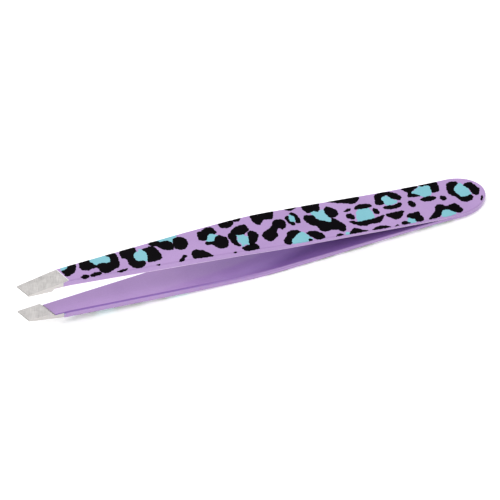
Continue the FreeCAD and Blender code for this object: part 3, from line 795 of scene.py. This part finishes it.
# %% Centres of teal ink
TEAL = [
    [(86.5, 1.7), (86.0, 2.1), (84.3, 2.2), (84.3, 1.6), (85.0, .9), (85.9, .7), (86.2, 1.2)],
    [(80.4, 2.3), (77.0, 2.7), (75.9, 1.9), (76.0, .6), (77.2, .2), (78.5, .5), (79.5, .4),
     (80.3, 1.4)],
    [(71.0, 1.6), (70.4, 1.5), (70.1, 2.1), (69.6, 1.7), (69.0, 1.0), (69.0, -.9),
     (69.6, -1.6), (70.4, -1.1), (71.3, -1.2), (71.7, .2), (71.4, 1.2)],
    [(66.2, 3.2), (62.0, 3.7), (61.9, 3.3), (62.6, 2.7), (63.3, 1.8), (64.0, 2.4),
     (64.8, 2.6)],
    [(56.6, 1.6), (55.8, 2.0), (54.7, 1.5), (54.3, 1.0), (55.0, .3), (55.7, -.4), (56.3, -.2),
     (56.9, .2)],
    [(50.9, .2), (50.2, -.1), (49.5, .1), (49.2, -.6), (48.5, -1.1), (49.0, -1.8),
     (49.1, -3.0), (50.0, -2.9), (50.7, -3.3), (50.8, -2.2), (51.5, -1.5), (50.9, -.9)],
    [(39.3, 2.9), (38.7, 3.0), (38.2, 2.1), (38.4, 1.2), (38.9, .8), (39.5, 1.3), (39.6, 2.0)],
    [(38.6, -2.0), (37.9, -2.4), (37.4, -3.4), (36.9, -4.4), (37.1, -5.0), (41.0, -5.0),
     (41.0, -4.1), (40.1, -3.0), (39.3, -2.4)],
    [(34.9, 2.5), (34.2, 2.9), (33.3, 2.6), (32.2, 3.0), (32.0, 1.6), (31.6, .4), (31.8, -.9),
     (32.6, -.6), (33.8, .2), (34.4, 1.4)],
    [(30.2, -5.0), (30.0, -4.4), (29.4, -4.3), (29.2, -5.0)],
    [(26.6, -2.0), (26.4, 0), (25.4, 1.4), (23.6, 1.4), (23.0, -.3), (23.4, -1.9),
     (25.0, -2.0)],
    [(20.1, 3.3), (19.1, 3.8), (18.4, 3.2), (17.8, 2.3), (17.2, 1.8), (17.8, 1.2),
     (19.6, 1.1), (20.0, 2.2)],
    [(17.3, -4.2), (16.8, -3.4), (15.7, -4.0), (15.6, -4.8), (16.6, -5.0), (17.1, -4.6)],
    [(13.8, 3.2), (12.6, 4.1), (11.6, 4.7), (10.3, 4.6), (9.6, 3.9), (9.8, 2.6), (10.4, 1.7),
     (11.6, 1.5), (12.4, 1.9), (13.0, 2.6)],
    [(10.4, -4.6), (9.9, -3.4), (9.1, -3.0), (8.1, -3.7), (7.4, -4.6), (8.4, -5.0),
     (9.8, -5.0)],
    [(5.7, 1.3), (5.1, 2.5), (4.0, 3.1), (3.4, 2.4), (3.0, 1.4), (2.8, .2), (2.9, -.7),
     (3.9, -.9), (4.9, -.6), (5.3, .4)],
]
print(len(BLACK), "black spots and", len(TEAL), "teal centres")

# %% Smooth outlines
INK_STEP = 0.15
WOBBLE = 0.045
NEAR_OVER = 0.70
FAR_OVER = 0.45


def smooth_outline(points, flip):
    """A closed soft curve through the points, a little uneven like a real print edge."""
    fixed = np.array(points, float)
    if flip:
        fixed = fixed * np.array([1, -1])
    count = len(fixed)
    found = []
    for k in range(count):
        a, b, c, d = (fixed[(k + j) % count] for j in (-1, 0, 1, 2))
        steps = max(2, int(np.linalg.norm(c - b) / INK_STEP))
        for t in np.arange(steps) / steps:
            found.append(0.5 * (2 * b + (c - a) * t + (2 * a - 5 * b + 4 * c - d) * t ** 2
                                + (3 * b - a - 3 * c + d) * t ** 3))
    found = np.array(found)
    wave = np.stack([np.sin(5.3 * found[:, 1] + 2.1 * found[:, 0]) + np.sin(9.7 * found[:, 1]),
                     np.sin(6.1 * found[:, 0] - 1.7 * found[:, 1]) + np.sin(11.3 * found[:, 0])],
                    axis=1)
    found += WOBBLE * wave
    s = found[:, 0]
    found[:, 1] = np.clip(found[:, 1], -(flat_edge(s, -1) + NEAR_OVER),
                          flat_edge(s, 1) + FAR_OVER)
    return found


def flat_edge(s, side):
    """Where the flat of the outer face ends and the rounded edge begins."""
    return half_width(s, side) - STEEL_ROUND


print("the first spot has", len(smooth_outline(BLACK[0], False)), "points on its outline")

# %% [markdown]
# ## Filling the spots
# A film that turns over an edge needs points where it turns. So each outline is filled by a
# Delaunay triangulation with a lattice of inner points: widely spaced on the flat of the
# face, and in close rows along both rounded edges.


# %% Lattice and fill
EDGE_ROWS = (0.0, 0.06, 0.12, 0.18, 0.24, 0.30, 0.37, 0.44, 0.51, 0.58, 0.66)
LATTICE_STEP = 0.32
LEAST_GAP = 0.03


def lattice():
    points = []
    for s in np.arange(0.6, 90.0, LATTICE_STEP):
        near = -float(flat_edge(s, -1))
        far = float(flat_edge(s, 1))
        rows = [near - row for row in EDGE_ROWS] + [far + row for row in EDGE_ROWS]
        rows += list(np.linspace(near, far, max(3, int((far - near) / LATTICE_STEP)))[1:-1])
        points += [(s, y) for y in rows]
    return np.array(points)


def inside_outline(points, outline):
    """Which points lie in a closed outline, by counting crossings."""
    hit = np.zeros(len(points), bool)
    for a, b in zip(outline, np.roll(outline, -1, axis=0)):
        spans = (a[1] > points[:, 1]) != (b[1] > points[:, 1])
        if spans.any():
            reach = a[0] + (points[:, 1] - a[1]) / (b[1] - a[1]) * (b[0] - a[0])
            hit ^= spans & (points[:, 0] < reach)
    return hit


lattice_points = lattice()
print("lattice of", len(lattice_points), "points")


def flat_film(name, spots, flip):
    """All spots of one ink as a flat triangulated sheet in the drawing frame."""
    vertices = []
    faces = []
    free = np.ones(len(lattice_points), bool)
    for spot in spots:
        outline = smooth_outline(spot, flip)
        low, high = outline.min(0), outline.max(0)
        in_box = ((lattice_points > low) & (lattice_points < high)).all(1)
        chosen = np.flatnonzero(free & in_box)
        chosen = chosen[inside_outline(lattice_points[chosen], outline)]
        free[chosen] = False
        inner = lattice_points[chosen]
        if len(inner):
            gap = np.linalg.norm(inner[:, None] - outline[None], axis=2).min(1)
            inner = inner[gap > LEAST_GAP]
        count = len(outline)
        points = [Vector(p) for p in np.concatenate([outline, inner])]
        ring = [(k, (k + 1) % count) for k in range(count)]
        found = delaunay_2d_cdt(points, ring, [], 1, 1e-5)
        base = len(vertices)
        vertices += [(-p.x * MM, p.y * MM, 0.0) for p in found[0]]
        faces += [tuple(base + k for k in face) for face in found[2]]
    mesh = bpy.data.meshes.new(name)
    mesh.from_pydata(vertices, [], faces)
    piece = bpy.data.objects.new(name, mesh)
    scene.collection.objects.link(piece)
    return piece


# %% [markdown]
# ## Wrapping the print on the blade
# The film follows the blade's face, which rises, bends and thickens, and it turns a little
# way over the rounded edges. A Geometry Nodes tree does this like a transfer sheet: it finds
# the height of the face under each point, presses the sheet on slantwise from above each
# side, then gives it the film's thickness and closes its underside. Drawn this way the spots
# stay crisp from every side.


# %% The transfer-sheet tree
def transfer_tree():
    tree = bpy.data.node_groups.new("ink_transfer", "GeometryNodeTree")
    face = tree.interface
    face.new_socket("Geometry", in_out="INPUT", socket_type="NodeSocketGeometry")
    face.new_socket("Blade", in_out="INPUT", socket_type="NodeSocketObject")
    face.new_socket("Film thickness", in_out="INPUT", socket_type="NodeSocketFloat")
    face.new_socket("Fall height", in_out="INPUT", socket_type="NodeSocketFloat")
    face.new_socket("Ink", in_out="INPUT", socket_type="NodeSocketMaterial")
    face.new_socket("Geometry", in_out="OUTPUT", socket_type="NodeSocketGeometry")
    new = tree.nodes.new
    link = tree.links.new
    given = new("NodeGroupInput")
    result = new("NodeGroupOutput")
    blade = new("GeometryNodeObjectInfo")
    blade.transform_space = "ORIGINAL"
    link(given.outputs["Blade"], blade.inputs["Object"])

    def vector_math(kind, first, second=None, scale=None):
        node = new("ShaderNodeVectorMath")
        node.operation = kind
        link(first, node.inputs[0])
        if second is not None:
            link(second, node.inputs[1])
        if scale is not None:
            link(scale, node.inputs["Scale"])
        return node.outputs[0]

    def cast(start, direction):
        """Where a ray meets the blade."""
        ray = new("GeometryNodeRaycast")
        link(blade.outputs["Geometry"], ray.inputs["Target Geometry"])
        link(start, ray.inputs["Source Position"])
        link(direction, ray.inputs["Ray Direction"])
        ray.inputs["Ray Length"].default_value = 1.0
        return ray

    here = new("ShaderNodeSeparateXYZ")
    link(new("GeometryNodeInputPosition").outputs[0], here.inputs[0])
    down = new("ShaderNodeCombineXYZ")
    down.inputs["Z"].default_value = -1.0
    above = new("ShaderNodeCombineXYZ")
    link(here.outputs["X"], above.inputs["X"])
    link(given.outputs["Fall height"], above.inputs["Z"])
    middle = cast(above.outputs[0], down.outputs[0])
    height = new("ShaderNodeSeparateXYZ")
    link(middle.outputs["Hit Position"], height.inputs[0])
    on_face = new("ShaderNodeCombineXYZ")
    link(here.outputs["X"], on_face.inputs["X"])
    link(here.outputs["Y"], on_face.inputs["Y"])
    link(height.outputs["Z"], on_face.inputs["Z"])
    side = new("ShaderNodeMath")
    side.operation = "SIGN"
    link(here.outputs["Y"], side.inputs[0])
    slant = new("ShaderNodeCombineXYZ")
    link(side.outputs[0], slant.inputs["Y"])
    slant.inputs["Z"].default_value = 1.0
    lean = vector_math("NORMALIZE", slant.outputs[0])
    start = vector_math("ADD", on_face.outputs[0],
                        vector_math("SCALE", lean, scale=given.outputs["Fall height"]))
    back = new("ShaderNodeVectorMath")
    back.operation = "SCALE"
    back.inputs["Scale"].default_value = -1.0
    link(lean, back.inputs[0])
    touch = cast(start, back.outputs[0])
    keep = new("GeometryNodeStoreNamedAttribute")
    keep.data_type = "FLOAT_VECTOR"
    keep.inputs["Name"].default_value = "outward"
    link(given.outputs["Geometry"], keep.inputs["Geometry"])
    link(touch.outputs["Hit Normal"], keep.inputs["Value"])
    drop = new("GeometryNodeSetPosition")
    link(keep.outputs["Geometry"], drop.inputs["Geometry"])
    link(touch.outputs["Hit Position"], drop.inputs["Position"])
    outward = new("GeometryNodeInputNamedAttribute")
    outward.data_type = "FLOAT_VECTOR"
    outward.inputs["Name"].default_value = "outward"
    grow = new("GeometryNodeExtrudeMesh")
    grow.mode = "FACES"
    grow.inputs["Individual"].default_value = False
    link(drop.outputs["Geometry"], grow.inputs["Mesh"])
    link(outward.outputs["Attribute"], grow.inputs["Offset"])
    link(given.outputs["Film thickness"], grow.inputs["Offset Scale"])
    under = new("GeometryNodeFlipFaces")
    link(drop.outputs["Geometry"], under.inputs["Mesh"])
    join = new("GeometryNodeJoinGeometry")
    link(grow.outputs["Mesh"], join.inputs[0])
    link(under.outputs["Mesh"], join.inputs[0])
    weld = new("GeometryNodeMergeByDistance")
    weld.inputs["Distance"].default_value = 1e-7
    link(join.outputs[0], weld.inputs["Geometry"])
    real = new("GeometryNodeRealizeInstances")
    link(weld.outputs[0], real.inputs["Geometry"])
    paint = new("GeometryNodeSetMaterial")
    link(real.outputs["Geometry"], paint.inputs["Geometry"])
    link(given.outputs["Ink"], paint.inputs["Material"])
    link(paint.outputs["Geometry"], result.inputs["Geometry"])
    return tree


transfer = transfer_tree()
sockets = {item.name: item.identifier for item in transfer.interface.items_tree
           if item.in_out == "INPUT"}
print("transfer inputs:", list(sockets))


# %% Print both blades
FALL_HEIGHT = 0.05
TEAL_FILM = 0.000010
BLACK_FILM = 0.000018


def wrapped(name, spots, ink, thickness, flip):
    """One ink's film on the upper blade, as a plain mesh in the drawing frame."""
    sheet = flat_film(name + "_sheet", spots, flip)
    wrap = sheet.modifiers.new("transfer", "NODES")
    wrap.node_group = transfer
    wrap[sockets["Blade"]] = upper_coat
    wrap[sockets["Film thickness"]] = thickness
    wrap[sockets["Fall height"]] = FALL_HEIGHT
    wrap[sockets["Ink"]] = ink
    bpy.context.view_layer.update()
    seen = sheet.evaluated_get(bpy.context.evaluated_depsgraph_get())
    mesh = bpy.data.meshes.new_from_object(seen)
    sheet.modifiers.remove(wrap)
    bpy.data.objects.remove(sheet)
    print("%s: %d faces" % (name, len(mesh.polygons)))
    return mesh


def printed(name, flip):
    """Both inks of one blade in one piece; the black film is thicker and covers the teal."""
    film = bmesh.new()
    inks = (("teal", TEAL, teal_ink, TEAL_FILM), ("black", BLACK, black_ink, BLACK_FILM))
    for slot, (label, spots, ink, thickness) in enumerate(inks):
        mesh = wrapped(name + "_" + label, spots, ink, thickness, flip)
        before = len(film.faces)
        film.from_mesh(mesh)
        film.faces.ensure_lookup_table()
        for face in film.faces[before:]:
            face.material_index = slot
        bpy.data.meshes.remove(mesh)
    if flip:
        for vertex in film.verts:
            vertex.co.z = -vertex.co.z
    bmesh.ops.recalc_face_normals(film, faces=film.faces)
    open_edges = sum(1 for e in film.edges if len(e.link_faces) != 2)
    result = bpy.data.meshes.new(name)
    film.to_mesh(result)
    film.free()
    for ink in (teal_ink, black_ink):
        result.materials.append(ink)
    piece = bpy.data.objects.new(name, result)
    scene.collection.objects.link(piece)
    print("%s: %d faces, %d open edges" % (name, len(result.polygons), open_edges))
    return piece


upper_spots = printed("upper_spots", flip=False)
lower_spots = printed("lower_spots", flip=True)

# %% [markdown]
# ## Lay everything on the table
# The skins and films are turned by the one matrix. The steel springs open and shut just in
# front of the weld. The CAD steel stays as it is inside and shows at the tips, with its
# ground finish.


for piece in (upper_coat, lower_coat, upper_spots, lower_spots):
    piece.data.transform(LIE)
    piece.data.update()
for piece, arm, side in ((upper_coat, "upper_arm", 1), (lower_coat, "lower_arm", -1),
                         (upper_spots, "upper_arm", 1), (lower_spots, "lower_arm", -1)):
    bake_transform(piece)
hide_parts("upper_enamel", "heel_enamel")
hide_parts("lower_enamel")
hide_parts("upper_print", "upper_heel_print")
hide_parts("lower_print", "lower_heel_print")

# %% Steel finishes on the CAD nodes
for name in ("upper_blade", "lower_blade", "upper_blade_heel", "lower_blade_heel"):
    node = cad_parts[name]
    node.data.materials.clear()
    node.data.materials.append(steel)
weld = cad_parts["weld_nuggets"]
weld.data.materials.clear()
weld.data.materials.append(weld_steel)
print("steel on", [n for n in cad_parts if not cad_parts[n].hide_render])
